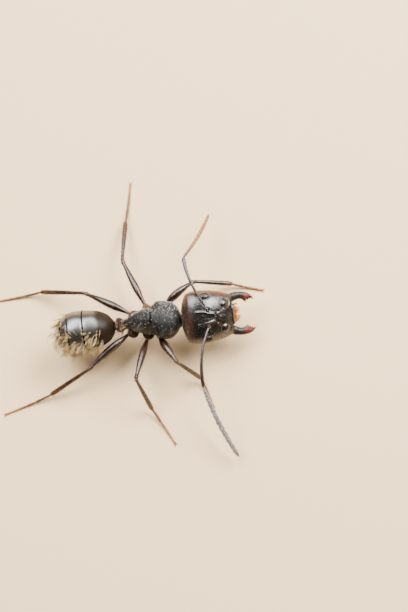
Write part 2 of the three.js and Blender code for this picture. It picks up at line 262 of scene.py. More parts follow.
class Finish:
    # a material whose principled shader is fed by nodes

    def __init__(self, name, fixed):
        self.material = bpy.data.materials.new(name)
        self.material.use_nodes = True
        self.tree = self.material.node_tree
        self.shader = self.tree.nodes["Principled BSDF"]
        for socket, value in fixed.items():
            self.shader.inputs[socket].default_value = value
        coordinates = self.node("TexCoord", {}, {}, "Object")
        self.spot = self.node("Mapping", {}, {"Vector": coordinates, "Scale": (1000, 1000, 1000)})

    def node(self, kind, settings, inputs, output=0):
        made = self.tree.nodes.new("ShaderNode" + kind)
        for name, value in settings.items():
            setattr(made, name, value)
        for name, value in inputs.items():
            if isinstance(value, Wire):
                self.tree.links.new(value.socket, made.inputs[name])
            else:
                made.inputs[name].default_value = value
        return Wire(self, made.outputs[output])

    def feed(self, **wires):
        # joins wires to the shader's sockets under short names
        names = {"baseColor": "Base Color", "roughness": "Roughness", "normal": "Normal",
                 "coat": "Coat Weight"}
        for key, wire in wires.items():
            self.tree.links.new(wire.socket, self.shader.inputs[names[key]])

    def noise(self, scale, detail=3.0, spot=None):
        inputs = {"Vector": spot or self.spot, "Scale": scale, "Detail": detail}
        return self.node("TexNoise", {}, inputs, "Fac")

    def cells(self, scale, feature="F1"):
        inputs = {"Vector": self.spot, "Scale": scale}
        return self.node("TexVoronoi", {"feature": feature}, inputs, "Distance")

    def amount(self, name):
        return self.node("Attribute", {"attribute_name": name}, {}, "Fac")

    def between(self, value, low, high, start=0.0, end=1.0):
        # runs from start to end as the value goes from low to high
        inputs = {"Value": value, "From Min": low, "From Max": high, "To Min": start, "To Max": end}
        return self.node("MapRange", {"interpolation_type": "SMOOTHSTEP"}, inputs)

    def blend(self, mask, first, second):
        inputs = {0: mask}
        for socket, colour in ((6, first), (7, second)):
            inputs[socket] = colour if isinstance(colour, Wire) else (*colour, 1)
        return self.node("Mix", {"data_type": "RGBA", "clamp_factor": True}, inputs, 2)

    def turned(self, rotation, scale):
        # the spot turned by degrees about X, Y and Z and then stretched, for grain that runs one way
        turn = self.node("Mapping", {}, {
            "Vector": self.spot, "Rotation": [math.radians(angle) for angle in rotation]})
        return self.node("Mapping", {}, {"Vector": turn, "Scale": scale})

    def bump(self, height, depth, below=None):
        # depth in millimetres for a height of 1
        inputs = {"Height": height, "Distance": depth * mm, "Strength": 1.0}
        if below:
            inputs["Normal"] = below
        return self.node("Bump", {}, inputs)


# Finishes

def shellFinish(name, look):
    # Hard shell: black that turns rusty where the piece is marked, a net of fine lines, and small pits. On
    # the head and the trunk the same mark and colours also paint a warm reflection low on their sides.
    finish = Finish(name, {"IOR": look["ior"], "Specular IOR Level": look["gloss"]})
    mottle = finish.noise(look["mottleScale"], 4.0)
    fine = finish.noise(14.0, 3.0)
    rustAndPaintedReflection = finish.amount("rustAndPaintedReflection")
    rustAndReflectionMask = finish.between(rustAndPaintedReflection + (mottle - 0.5) * look["patchiness"], 0.05, 0.95)
    dark = finish.blend(finish.between(mottle, 0.35, 0.75), look["black"], look["brown"])
    warm = finish.blend(finish.between(fine, 0.3, 0.7), look["rustAndReflectionDark"], look["rustAndReflectionPale"])
    # where the mark is strongest an edge colour takes over; on the head that is its low flanks, and there the
    # colour is painted reflection
    if "edge" in look:
        warm = finish.blend(finish.between(rustAndPaintedReflection, 0.7, 1.0), warm, look["edge"])
    finish.feed(baseColor=finish.blend(rustAndReflectionMask, dark, warm))
    rough = finish.between(fine * 0.6 + mottle * 0.4, 0.3, 0.7, *look["roughness"])
    finish.feed(roughness=rough + rustAndReflectionMask * 0.06 - finish.amount("polish") * 0.26)
    net = finish.between(finish.cells(look["netScale"], feature="DISTANCE_TO_EDGE"), 0.0, 0.16)
    pits = finish.between(finish.cells(look["pitScale"]), 0.08, 0.2)
    grain = finish.bump(net, look["netDepth"])
    finish.feed(normal=finish.bump(pits, look["pitDepth"], finish.bump(fine, look["waveDepth"], grain)))
    return finish


# what the softer lips and feet share
softShell = {
    "ior": 1.5, "patchiness": 0.3, "mottleScale": 3.0, "netScale": 34.0, "netDepth": 0.0016,
    "pitScale": 12.0, "pitDepth": 0.004, "waveDepth": 0.003,
}
# the head's rust colours and edge colour paint its rusty rear and also a painted warm reflection low on its
# flanks and cheeks
headFinish = shellFinish("polishedHeadShell", {
    "ior": 1.56, "gloss": 0.6, "roughness": (0.22, 0.32), "patchiness": 0.3,
    "black": (0.0018, 0.0014, 0.0012), "brown": (0.0055, 0.0026, 0.0018),
    "rustAndReflectionDark": (0.02, 0.006, 0.0015), "rustAndReflectionPale": (0.055, 0.015, 0.0032),
    "edge": (0.05, 0.013, 0.0028), "mottleScale": 1.6, "netScale": 26.0, "netDepth": 0.0007,
    "pitScale": 6.0, "pitDepth": 0.004, "waveDepth": 0.0018,
})
trunkFinish = shellFinish("matteTrunkShell", {
    "ior": 1.5, "gloss": 0.24, "roughness": (0.34, 0.5), "patchiness": 0.35,
    "black": (0.0018, 0.0018, 0.0019), "brown": (0.005, 0.0038, 0.003),
    "rustAndReflectionDark": (0.024, 0.008, 0.004), "rustAndReflectionPale": (0.1, 0.03, 0.01),
    "mottleScale": 2.4, "netScale": 20.0, "netDepth": 0.004,
    "pitScale": 8.0, "pitDepth": 0.014, "waveDepth": 0.012,
})
# legs and scapes: near black with a red-brown that is partly their own colour and partly a painted reflection
# of warm surroundings below
legFinish = shellFinish("glossyLegShell", {
    "ior": 1.54, "gloss": 0.5, "roughness": (0.2, 0.3), "patchiness": 0.2,
    "black": (0.006, 0.0024, 0.0016), "brown": (0.022, 0.0065, 0.003),
    "rustAndReflectionDark": (0.04, 0.011, 0.005), "rustAndReflectionPale": (0.15, 0.045, 0.014),
    "mottleScale": 1.2, "netScale": 30.0, "netDepth": 0.0008,
    "pitScale": 9.0, "pitDepth": 0.002, "waveDepth": 0.0015,
})
jawFinish = shellFinish("toothedJawShell", {
    "ior": 1.54, "gloss": 0.32, "roughness": (0.24, 0.38), "patchiness": 0.25,
    "black": (0.0018, 0.0012, 0.0011), "brown": (0.0045, 0.0018, 0.0014),
    "rustAndReflectionDark": (0.035, 0.0035, 0.0025), "rustAndReflectionPale": (0.11, 0.011, 0.006),
    "mottleScale": 3.0, "netScale": 30.0, "netDepth": 0.002,
    "pitScale": 13.0, "pitDepth": 0.018, "waveDepth": 0.007,
})
lipFinish = shellFinish("amberLipShell", {
    **softShell, "gloss": 0.4, "roughness": (0.3, 0.42),
    "black": (0.05, 0.01, 0.003), "brown": (0.1, 0.02, 0.004),
    "rustAndReflectionDark": (0.42, 0.09, 0.008), "rustAndReflectionPale": (0.85, 0.27, 0.02),
})
tarsusFinish = shellFinish("amberFootShell", {
    **softShell, "gloss": 0.5, "roughness": (0.34, 0.48),
    "black": (0.03, 0.009, 0.004), "brown": (0.06, 0.019, 0.007),
    "rustAndReflectionDark": (0.2, 0.055, 0.013), "rustAndReflectionPale": (0.48, 0.17, 0.035),
})


def eyeLook():
    # thousands of tiny domes, near black and less glossy than the shell round them
    finish = Finish("facetedEye", {"IOR": 1.5, "Specular IOR Level": 0.3})
    domes = finish.cells(30.0)
    cloud = finish.noise(5.0)
    finish.feed(baseColor=finish.blend(cloud, (0.006, 0.0036, 0.0024), (0.016, 0.009, 0.006)))
    finish.feed(roughness=finish.between(cloud, 0.3, 0.7, 0.24, 0.32))
    finish.feed(normal=finish.bump(1 - domes, 0.0025))
    return finish


def gasterLook():
    # satin plates with fine cross lines, duller at the waist, with a painted shadow line, near black and
    # without coat, before each pale rear edge
    finish = Finish("satinGasterPlate", {"IOR": 1.5, "Specular IOR Level": 0.15, "Coat Roughness": 0.31,
                                         "Coat IOR": 1.95})
    mottle = finish.noise(1.8, 4.0)
    lines = finish.noise(1.0, 3.0, finish.turned((0, 0, -7), (34, 5, 5)))
    dull = finish.amount("dull")
    # the seam mark paints shadow where the next plate tucks under
    seam = finish.amount("seam")
    dark = finish.blend(finish.between(mottle, 0.35, 0.7), (0.003, 0.0024, 0.002), (0.009, 0.0055, 0.0035))
    shell = finish.blend(seam, finish.blend(dull, dark, (0.009, 0.004, 0.0018)), (0.001, 0.001, 0.001))
    edge = finish.between(finish.amount("rim") + (lines - 0.5) * 0.2, 0.45, 0.75)
    finish.feed(baseColor=finish.blend(edge, shell, (0.12, 0.07, 0.03)))
    finish.feed(roughness=finish.between(lines * 0.5 + mottle * 0.5, 0.35, 0.65, 0.45, 0.6))
    finish.feed(coat=finish.between(dull * 0.94 + seam, 0.0, 1.0, 1.0, 0.0))
    finish.feed(normal=finish.bump(lines, 0.002, finish.bump(finish.cells(9.0), 0.0015)))
    return finish


def feelerLook():
    # black at the base of each ring and brown beyond, with a fine down over it
    finish = Finish("downyFeelerShell", {"IOR": 1.5, "Specular IOR Level": 0.6, "Sheen Weight": 0.2,
                                         "Sheen Roughness": 0.4, "Sheen Tint": (1, 0.93, 0.82, 1)})
    cloud = finish.noise(5.0)
    amber = finish.blend(cloud, (0.17, 0.045, 0.01), (0.38, 0.12, 0.026))
    finish.feed(baseColor=finish.blend(finish.amount("rustAndPaintedReflection"), (0.018, 0.009, 0.006), amber))
    finish.feed(roughness=finish.between(cloud, 0.3, 0.7, 0.42, 0.56))
    finish.feed(normal=finish.bump(finish.noise(40.0, 2.0), 0.004))
    return finish


def hairLook(name, shade, light, roughness):
    # hair that runs from a shade to a light by its tone, which holds each hair's own tone and a painted shade
    # toward its root
    finish = Finish(name, {"IOR": 1.5, "Specular IOR Level": 0.5})
    tone = finish.amount("tone")
    finish.feed(baseColor=finish.blend(tone, shade, light))
    finish.feed(roughness=finish.between(tone, 0.0, 1.0, roughness + 0.08, roughness - 0.06))
    return finish


eyeFinish = eyeLook()
gasterFinish = gasterLook()
feelerFinish = feelerLook()
goldHair = hairLook("paleGoldHair", (0.05, 0.026, 0.008), (1.0, 0.72, 0.33), 0.36)
silverHair = hairLook("silverDown", (0.03, 0.027, 0.025), (0.95, 0.92, 0.88), 0.34)
amberHair = hairLook("amberBristle", (0.07, 0.018, 0.006), (0.5, 0.2, 0.04), 0.36)
print("finishes made")


# Head: +X to the front of the face, +Y to its left and +Z out of its top, from its own centre

head = {
    "length": 2.38, "width": 2.4, "depth": 1.45,
    "centre": (2.56, 0.16, 1.86), "turn": 8, "nod": 15, "tilt": 21,
    "socket": (0.0, 0.35, 0.6),
    "eye": (-0.1, 0.97, 0.42), "eyeHalf": (0.24, 0.18, 0.11), "eyeLean": 38,
    "boss": (0.78, 0.56), "bossRadius": 0.2,
}
headFrame = Matrix.Translation(head["centre"]) @ Euler(
    [math.radians(head[key]) for key in ("tilt", "nod", "turn")], "XYZ").to_matrix().to_4x4()


def clypeusEdge(x):
    # how far from the middle the side seam of the clypeus runs
    return 0.2 + 0.4 * eased(x, 0.36, 1.15)


def headRelief(co, normal):
    x, y = co.x, abs(co.y)
    face = eased(normal.z, 0.0, 0.35)
    # two ridges that start beside the clypeus, pass inside the sockets and spread to the rear
    ridgeY = 0.17 + 0.12 * eased(0.34 - x, 0.05, 0.75)
    behindFace = eased(0.34 - x, 0.0, 0.1) * (1 - eased(-x, 0.4, 0.65))
    ridge = (0.03 * hump(y - ridgeY, 0.04) + 0.022 * (1 - eased(y, ridgeY, ridgeY + 0.06))) * behindFace
    socketGap = math.hypot(x - head["socket"][0], y - head["socket"][1] - 0.02)
    socket = -0.07 * (1 - eased(socketGap, 0.04, 0.12)) + 0.008 * hump(socketGap - 0.14, 0.03)
    # the clypeus is a raised shield with a keel, and a pit at each rear corner
    inside = clypeusEdge(x) - y
    shield = 0.006 * eased(inside, -0.03, 0.1) * eased(x, 0.36, 0.5)
    seam = -0.004 * hump(inside, 0.016) * eased(x, 0.36, 0.42)
    keel = 0.014 * hump(y, 0.05) * eased(x, 0.44, 0.6) * (1 - eased(x, 0.95, 1.15))
    pit = -0.03 * hump(math.hypot(x - 0.42, y - 0.25), 0.04)
    furrow = -0.012 * hump(y, 0.02) * eased(0.34 - x, 0.0, 0.1) * (1 - eased(-x, 0.1, 0.4))
    bossGap = math.hypot(x - head["boss"][0], y - head["boss"][1]) / head["bossRadius"]
    boss = 0.07 * max(0, 1 - bossGap ** 2) - 0.01 * hump(bossGap - 1.08, 0.1)
    # a groove round each eye
    eyeX, eyeY, eyeZ = head["eye"]
    eyeGap = math.sqrt(((x - eyeX) / 0.24) ** 2 + ((y - eyeY) ** 2 + (co.z - eyeZ) ** 2) / 0.19 ** 2)
    orbit = 0.006 * hump(eyeGap - 1.25, 0.12) - 0.02 * hump(eyeGap - 1.02, 0.1)
    # the hole for the neck, the mouth, and the seam along the throat
    neckHole = -0.08 * (1 - eased(math.hypot(y, co.z + 0.05), 0.1, 0.36)) if x < -1 else 0
    lobe = 0.05 * (1 - eased(y, 0.36, 0.44)) if x > 1.1 and co.z > -0.1 else 0
    under = eased(-normal.z, 0.2, 0.6)
    mouth = -0.1 * (1 - eased(y, 0.3, 0.45)) * eased(x, 0.3, 0.5)
    throat = -0.02 * hump(y, 0.03) * (1 - eased(x, 0.2, 0.35))
    onFace = ridge + socket + shield + seam + keel + pit + furrow + boss
    return face * onFace + orbit + neckHole + lobe + under * (mouth + throat)


def headRustAndReflection(co, normal):
    # rusty at the back of the head; low on its flanks and on its cheeks the warm brown is painted reflection
    # of warm surroundings
    rear = 0.5 * eased(-co.x, 0.62, 0.82)
    flank = eased(abs(co.y), 0.5, 1.05) * eased(0.6 - co.z, 0.0, 0.5)
    cheekReflection = 0.5 * hump(math.hypot(co.x - 0.5, abs(co.y) - 0.36), 0.14)
    return clamp(rear + flank + cheekReflection)


def makeHead():
    half, deep = head["width"] / 2, head["depth"] / 2
    width = profile((0, 0.66), (0.05, 0.8), (0.16, 0.95), (0.34, 1), (0.7, 0.92), (0.95, 0.76), (1, 0.7),
                    size=half)
    above = profile((0, 0.45), (0.06, 0.62), (0.25, 0.93), (0.5, 1), (0.8, 0.72), (1, 0.38), size=deep)
    below = profile((0, 0.45), (0.06, 0.6), (0.25, 0.88), (0.5, 0.94), (0.8, 0.7), (1, 0.42), size=deep)
    line = straight((-head["length"] / 2, 0, 0), (head["length"] / 2, 0, -0.1))
    bm = bodyAlong(line, width, above, below, ends=(0.14, 0.05), rings=170, around=250, square=2.3,
                   gather=0.45)
    sculpt(bm, headRelief)
    mark(bm, "rustAndPaintedReflection", headRustAndReflection)
    bm.transform(headFrame)
    return addPiece(bm, "headCapsule", headFinish, ["head"])


def makeEye(side, sign):
    bm = bmesh.new()
    bmesh.ops.create_uvsphere(bm, u_segments=48, v_segments=30, radius=1)
    x, y, z = head["eye"]
    lean = Matrix.Rotation(-sign * math.radians(head["eyeLean"]), 4, "X")
    shape = Matrix.Diagonal((*head["eyeHalf"], 1))
    bm.transform(headFrame @ Matrix.Translation((x, sign * y, z)) @ lean @ shape)
    addPiece(bm, f"compoundEye{side}", eyeFinish, [f"eye_{side.lower()}"])


jaw = {
    "base": -0.12, "length": 1.05, "teeth": 4, "basalTooth": (0.65, -0.2), "tipIn": -0.11,
    "root": (1.15, 0.72, -0.14), "turnIn": {"Left": 5, "Right": -2}, "droop": 4,
}


def makeJaw(side, sign):
    # a stalk that widens to a blade, with pointed teeth from the basal tooth to the tip
    base, length, (basalX, basalY) = jaw["base"], jaw["length"], jaw["basalTooth"]
    outer = profile((base, 0.19), (0.1, 0.25), (0.4, 0.27), (0.66, 0.235), (0.85, 0.14), (0.98, 0.01),
                    (length, jaw["tipIn"]))
    stalk = profile((base, -0.19), (0.1, -0.15), (0.3, -0.07), (0.44, -0.07), (0.55, -0.13),
                    (basalX, basalY))

    def inner(x):
        if x < basalX:
            return stalk(x)
        share = clamp((x - basalX) / (length - basalX))
        notch = 1 - abs(2 * (share * jaw["teeth"] % 1) - 1)
        chord = basalY * (1 - share) + jaw["tipIn"] * share
        return min(outer(x), chord + 0.05 * math.sin(math.pi * share) ** 0.7 + 0.09 * notch ** 0.9)

    def spine(place):
        x = base + (length - base) * place
        return Vector((x, (outer(x) + inner(x)) / 2, 0)), Vector((1, 0, 0))

    def halfWidth(place):
        x = base + (length - base) * place
        return max(outer(x) - inner(x), 0.004) / 2

    thick = profile((0, 0.15), (0.3, 0.13), (0.6, 0.12), (0.85, 0.075), (1, 0.02))
    bm = bodyAlong(spine, closing(halfWidth, 0.04, 0.003), closing(thick, 0.04, 0.04), ends=None,
                   rings=190, around=40, gather=0.0)
    for vert in bm.verts:
        # the toothed edge is thin and the outer edge stays thick
        x = vert.co.x
        edge = clamp((outer(x) - vert.co.y) / max(outer(x) - inner(x), 1e-3))
        vert.co.z *= 1 - 0.65 * eased(edge, 0.45, 1) * eased(x, 0.45, 0.65)
    mark(bm, "rustAndPaintedReflection", lambda co, normal: 0.9 * eased(co.x, 0.38, 0.62) * (1 - 0.35 * eased(co.y, 0.1, 0.25)))
    if sign < 0:
        bmesh.ops.scale(bm, vec=(1, -1, 1), verts=bm.verts)
        bmesh.ops.recalc_face_normals(bm, faces=bm.faces)
    turn = Matrix.Rotation(math.radians(jaw["droop"]), 4, "Y") @ Matrix.Rotation(
        -sign * math.radians(jaw["turnIn"][side]), 4, "Z")
    x, y, z = jaw["root"]
    bm.transform(headFrame @ Matrix.Translation((x, sign * y, z)) @ turn)
    return addPiece(bm, f"toothedJaw{side}", jawFinish, [f"mandible_{side.lower()}"])


palp = {"radius": 0.035, "joints": 5}


def makeLabrum():
    # the upper lip: two soft lobes under the front edge of the clypeus
    lobes = []
    for sign in (1, -1):
        line = bent((1.02, sign * 0.12, -0.14), (1.25, sign * 0.2, -0.12), (1.42, sign * 0.13, -0.2))
        lobes.append(bodyAlong(line, lambda place: 0.15, lambda place: 0.06, ends=(0.3, 0.3),
                               rings=30, around=28))
    bm = joined(*lobes)
    mark(bm, "rustAndPaintedReflection", lambda co, normal: 0.8)
    bm.transform(headFrame)
    return addPiece(bm, "upperLip", lipFinish, ["labrum"])


def makeMouth():
    # the lower lip and the jointed palps, tucked under the head
    lipLine = straight((0.3, 0, -0.5), (1.2, 0, -0.38))
    parts = [bodyAlong(lipLine, profile((0, 0.22), (1, 0.3)), lambda place: 0.14, ends=(0.2, 0.25),
                       rings=30, around=28)]
    beads = lambda place: palp["radius"] * (0.8 + 0.2 * abs(math.sin(math.pi * palp["joints"] * place)))
    for sign in (1, -1):
        for reach, start in ((0.5, 0.14), (0.85, 0.3)):
            curve = bent((0.95, sign * start, -0.5), (1.3, sign * (start + 0.1), -0.78),
                         (0.95 + reach * 0.6, sign * (start + 0.06), -0.72))
            parts.append(bodyAlong(curve, beads, ends=(0.05, 0.1), rings=60, around=12, gather=0.2))
    bm = joined(*parts)
    mark(bm, "rustAndPaintedReflection", lambda co, normal: 0.45)
    bm.transform(headFrame)
    addPiece(bm, "lowerLipAndPalps", lipFinish, [])


headPiece = makeHead()
jawPieces = []
for side, sign in (("Left", 1), ("Right", -1)):
    makeEye(side, sign)
    jawPieces.append(makeJaw(side, sign))
lipPiece = makeLabrum()
makeMouth()
print("head made")


# Feelers

feelers = {
    "scapeSway": 0.16, "scapeBow": 0.2, "rings": 11,
    # both feelers share one shell; the right one's low warmth and its dense, thicker, pale down paint the
    # sheen that the lamps put on it
    "left": {"sign": 1, "scape": 2.6, "heading": 114.5, "rise": 10.6, "whip": 3.38, "ringHeading": 75.3,
             "drop": 38.4, "sag": 0.0, "sway": -0.1, "ringWide": 0.062, "warmth": 1.0, "down": 900,
             "downWide": 0.009, "downToneWithSheen": 0.35},
    "right": {"sign": -1, "scape": 2.78, "heading": -96.2, "rise": -7.9, "whip": 3.49, "ringHeading": -64.6,
              "drop": 22.8, "sag": 0.05, "sway": 0.12, "ringWide": 0.086, "warmth": 0.22, "down": 4600,
              "downWide": 0.014, "downToneWithSheen": 1.0},
}


def stretchOf(line, start, end):
    # the stretch of a line between two places
    return lambda place: line(start + (end - start) * place)


def rustyEnds(first, fadeFrom, fadeTo, last, growFrom):
    # rust that fades from a limb's first end and grows toward its last
    return lambda place: first * (1 - eased(place, fadeFrom, fadeTo)) + last * eased(place, growFrom, 1)


def makeFeeler(side):
    stance = feelers[side]
    x, y, z = head["socket"]
    socket = headFrame @ Vector((x, stance["sign"] * y, z))
    elbow = socket + pointing(stance["heading"], stance["rise"]) * stance["scape"]
    tip = elbow + pointing(stance["ringHeading"], -stance["drop"]) * stance["whip"]
    scapeLine = bowed(socket, elbow, feelers["scapeBow"], feelers["scapeSway"])
    thick = profile((0, 0.07), (0.02, 0.085), (0.045, 0.042), (0.07, 0.045), (0.2, 0.056), (0.6, 0.066),
                    (0.88, 0.085), (0.96, 0.088), (1, 0.07))
    scape = bodyAlong(scapeLine, thick, ends=(0.02, 0.025), rings=110, around=24, gather=0.5)
    markByPlace(scape, "rustAndPaintedReflection", rustyEnds(0.35, 0.02, 0.2, 0.4, 0.9))
    scapePiece = addPiece(scape, f"scapeShaft{side.title()}", legFinish, [f"scape_{side}"])

    # eleven rings: the first is long, and each is narrow at its base and wide at its far end
    funiculusLine = bowed(elbow, tip, stance["sag"], stance["sway"])
    lengths = [1.25] + [0.92] * 9 + [1.35]
    ends = np.cumsum([0] + lengths) / sum(lengths)
    rings = []
    last = feelers["rings"] - 1
    for i in range(feelers["rings"]):
        wide = stance["ringWide"] + 0.02 * math.sin(math.pi * clamp(i / last)) + (0.006 if i > 4 else 0)
        shape = profile((0, 0.62), (0.25, 0.82), (0.75, 1.06), (1, 0.9), size=wide)
        if i == 0:
            shape = profile((0, 0.035), (0.2, 0.045), (0.8, 0.068), (1, 0.055))
        if i == last:
            shape = profile((0, 0.66), (0.3, 1), (0.7, 0.8), (1, 0.35), size=wide)
        stretch = stretchOf(funiculusLine, ends[i] - (0.008 if i else 0.012), ends[i + 1])
        ring = bodyAlong(stretch, shape, ends=(0.1, 0.5 if i == last else 0.08), rings=22, around=20,
                         gather=0.4)
        # on the right feeler the low warmth darkens the rings under its pale down, part of its painted sheen
        reach = stance["warmth"] * (0.25 + 0.75 * eased(i, 0, 4))
        markByPlace(ring, "rustAndPaintedReflection", lambda place: reach * (0.55 + 0.45 * eased(place, 0.3, 0.8)))
        rings.append(ring)
    name = f"funiculusRings{side.title()}"
    ringPiece = addPiece(joined(*rings), name, feelerFinish, [f"funiculus_{side}"])
    return {"scape": scapePiece, "rings": ringPiece, "scapeWay": elbow - socket, "ringWay": tip - elbow,
            "stance": stance}


feelerPieces = [makeFeeler("left"), makeFeeler("right")]
print("feelers made")


# Trunk, neck and waist

trunk = {
    "front": 1.36, "rear": -1.36, "width": 1.66, "top": 2.68, "bottom": 1.16,
    "pronotumSuture": 0.5, "metanotalGroove": 0.07, "seamGap": 0.002,
    "spiracle": (-0.72, 1.9),
}
sutureAt = Vector((trunk["pronotumSuture"], 0, trunk["top"]))
sutureAhead = Vector((1, 0, 0.25)).normalized()
grooveAt = Vector((trunk["metanotalGroove"], 0, trunk["top"]))
grooveAhead = Vector((1, 0, -0.12)).normalized()


def trunkRelief(co, normal):
    y = abs(co.y)
    suture = (co - sutureAt).dot(sutureAhead)
    groove = (co - grooveAt).dot(grooveAhead)
    upper = eased(co.z, 1.6, 2.2)
    seams = -0.014 * hump(suture, 0.03) - (0.03 + 0.05 * upper) * hump(groove, 0.07)
    rearLips = 0.012 * hump(groove + 0.12, 0.05) + 0.03 * hump(groove - 0.11, 0.07)
    lips = 0.006 * hump(suture - 0.08, 0.05) + rearLips
    # swellings over the coxae, and the slanting seams between the side plates
    flank = eased(abs(normal.y), 0.45, 0.85)
    front = 0.05 * hump(math.hypot(co.x - 0.78, co.z - 1.55), 0.26)
    middle = 0.06 * hump(math.hypot(co.x - 0.06, co.z - 1.6), 0.26)
    rear = 0.03 * hump(math.hypot(co.x + 0.8, co.z - 1.4), 0.24)
    slant = -0.02 * hump(co.x + 0.42 * (co.z - 1.5) + 0.36, 0.04) * (1 - eased(co.z, 1.8, 2.05))
    sideSeam = -0.02 * hump(co.x - 0.34 - 0.5 * (2.1 - co.z), 0.04) * (1 - eased(co.z, 1.8, 2.05))
    spiracleGap = math.hypot(co.x - trunk["spiracle"][0], co.z - trunk["spiracle"][1])
    spiracle = 0.022 * hump(spiracleGap - 0.055, 0.022) - 0.04 * hump(spiracleGap, 0.03)
    # the propodeum is pinched toward its top
    pinch = -0.03 * eased(co.z, 1.95, 2.3) * eased(-co.x, 0.15, 0.4) * flank
    return seams + lips + flank * (front + middle + rear + slant + sideSeam + spiracle) + pinch


def groovePolish(co, normal):
    # the lip in front of the groove is worn smooth on top
    return hump((co - grooveAt).dot(grooveAhead) - 0.08, 0.06) * eased(co.z, 1.7, 2.1)


def trunkRustAndReflection(co, normal):
    # the warm brown low on the sides is painted reflection of warm surroundings below; the reddish patch over
    # the front coxae is the shell's own colour
    low = 0.75 * eased(2.1 - co.z, 0.0, 0.6)
    joints = 0.5 * hump(math.hypot(co.x - 0.95, co.z - 1.4), 0.3)
    return clamp(low + joints)


def arched(bm):
    # the seams bow toward the head along the middle of the back
    for vert in bm.verts:
        near = math.exp(-((vert.co.x - trunk["pronotumSuture"]) / 0.42) ** 2)
        vert.co.x -= 0.26 * near * vert.co.y ** 2 * eased(vert.co.z, 1.3, 2.2)
    return bm


def trunkBody():
    half = trunk["width"] / 2
    middle = (trunk["top"] + trunk["bottom"]) / 2
    high = trunk["top"] - middle
    line = straight((trunk["rear"], 0, middle - 0.24), (trunk["front"], 0.1, middle + 0.1))
    width = profile((0, 0.22), (0.1, 0.27), (0.17, 0.4), (0.25, 0.53), (0.33, 0.63), (0.42, 0.69),
                    (0.51, 0.67), (0.566, 0.77), (0.62, 0.89), (0.7, 1.01), (0.8, 1), (0.89, 0.84),
                    (0.95, 0.6), (1, 0.42), size=half)
    above = profile((0, 0.2), (0.08, 0.4), (0.2, 0.77), (0.34, 0.95), (0.47, 0.98), (0.56, 1.04), (0.72, 1),
                    (0.88, 0.75), (1, 0.38), size=high)
    below = profile((0, 0.3), (0.12, 0.58), (0.4, 0.9), (0.7, 1), (0.9, 0.8), (1, 0.4), size=high)
    bm = bodyAlong(line, width, above, below, rings=170, around=150, square=2.2, gather=0.3)
    sculpt(bm, trunkRelief)
    mark(bm, "rustAndPaintedReflection", trunkRustAndReflection)
    mark(bm, "polish", groovePolish)
    return bm


def makeTrunk():
    # the whole trunk is cut at its two seams, with a narrow gap at each; a plate keeps what is behind a seam,
    # ahead of it, or both
    whole = trunkBody()
    pieces = []
    plates = {"pronotum": (False, None), "mesonotum": (True, False), "propodeum": (None, True)}
    for node, sides in plates.items():
        bm = whole.copy()
        for at, ahead, behind in zip((sutureAt, grooveAt), (sutureAhead, grooveAhead), sides):
            if behind is not None:
                gap = -trunk["seamGap"] if behind else trunk["seamGap"]
                keepBeside(bm, at + ahead * gap, ahead, behind)
        pieces.append(addPiece(arched(bm), f"{node}Plate", trunkFinish, [node]))
    whole.free()
    return pieces


def makeNeck():
    line = straight((trunk["front"] - 0.36, 0, 1.64), headFrame @ Vector((-0.62, 0, -0.3)))
    ridged = lambda place: 0.27 + 0.02 * math.cos(2 * math.pi * 4 * place)
    bm = bodyAlong(line, ridged, rings=50, around=40, gather=0.2)
    mark(bm, "rustAndPaintedReflection", lambda co, normal: 0.3)
    return addPiece(bm, "neckCollar", trunkFinish, ["neck"])


waist = {"rear": -2.02, "front": -1.12, "top": 2.05, "height": 1.42, "halfWidth": 0.31}


def makeWaist():
    # one upright scale, rounded across its top, on a low stalk
    level = waist["height"]
    line = straight((waist["rear"], 0, level), (waist["front"], 0, level + 0.04))
    rise, half = waist["top"] - level - 0.02, waist["halfWidth"]
    above = profile((0, 0.14), (0.2, 0.15), (0.33, 0.22), (0.42, rise * 0.82), (0.5, rise),
                    (0.58, rise * 0.93), (0.68, rise * 0.5), (0.8, 0.19), (1, 0.15))
    below = profile((0, 0.16), (0.5, 0.24), (1, 0.16))
    width = profile((0, 0.15), (0.25, 0.19), (0.45, half), (0.58, half), (0.78, 0.2), (1, 0.17))
    bm = bodyAlong(line, width, above, below, rings=90, around=60, square=2.2, gather=0.1)
    mark(bm, "rustAndPaintedReflection", lambda co, normal: 0.3 + 0.4 * eased(1.7 - co.z, 0, 0.3))
    return addPiece(bm, "waistScale", trunkFinish, ["petiole"])


trunkPieces = makeTrunk()
neckPiece = makeNeck()
waistPiece = makeWaist()
print("trunk made")


# Gaster

gaster = {
    "length": 2.76, "width": 1.76, "depth": 1.72, "front": (-1.74, -0.09, 1.56), "turn": 7, "lift": 8,
    "edges": (0.0, 0.535, 0.79, 0.92, 1.0), "tuck": 0.06, "flare": 0.022,
}
gasterStart = Vector(gaster["front"])
gasterAxis = pointing(180 + gaster["turn"], gaster["lift"])
gasterEnd = gasterStart + gasterAxis * gaster["length"]
gasterLine = straight(gasterStart, gasterEnd)
gasterSide = up.cross(gasterAxis).normalized()
gasterRise = gasterAxis.cross(gasterSide)
gasterEgg = profile((0, 0.2), (0.04, 0.42), (0.12, 0.7), (0.28, 0.93), (0.44, 1), (0.6, 1.03), (0.72, 0.99),
                    (0.83, 0.83), (0.92, 0.58), (0.98, 0.28), (1, 0.1))


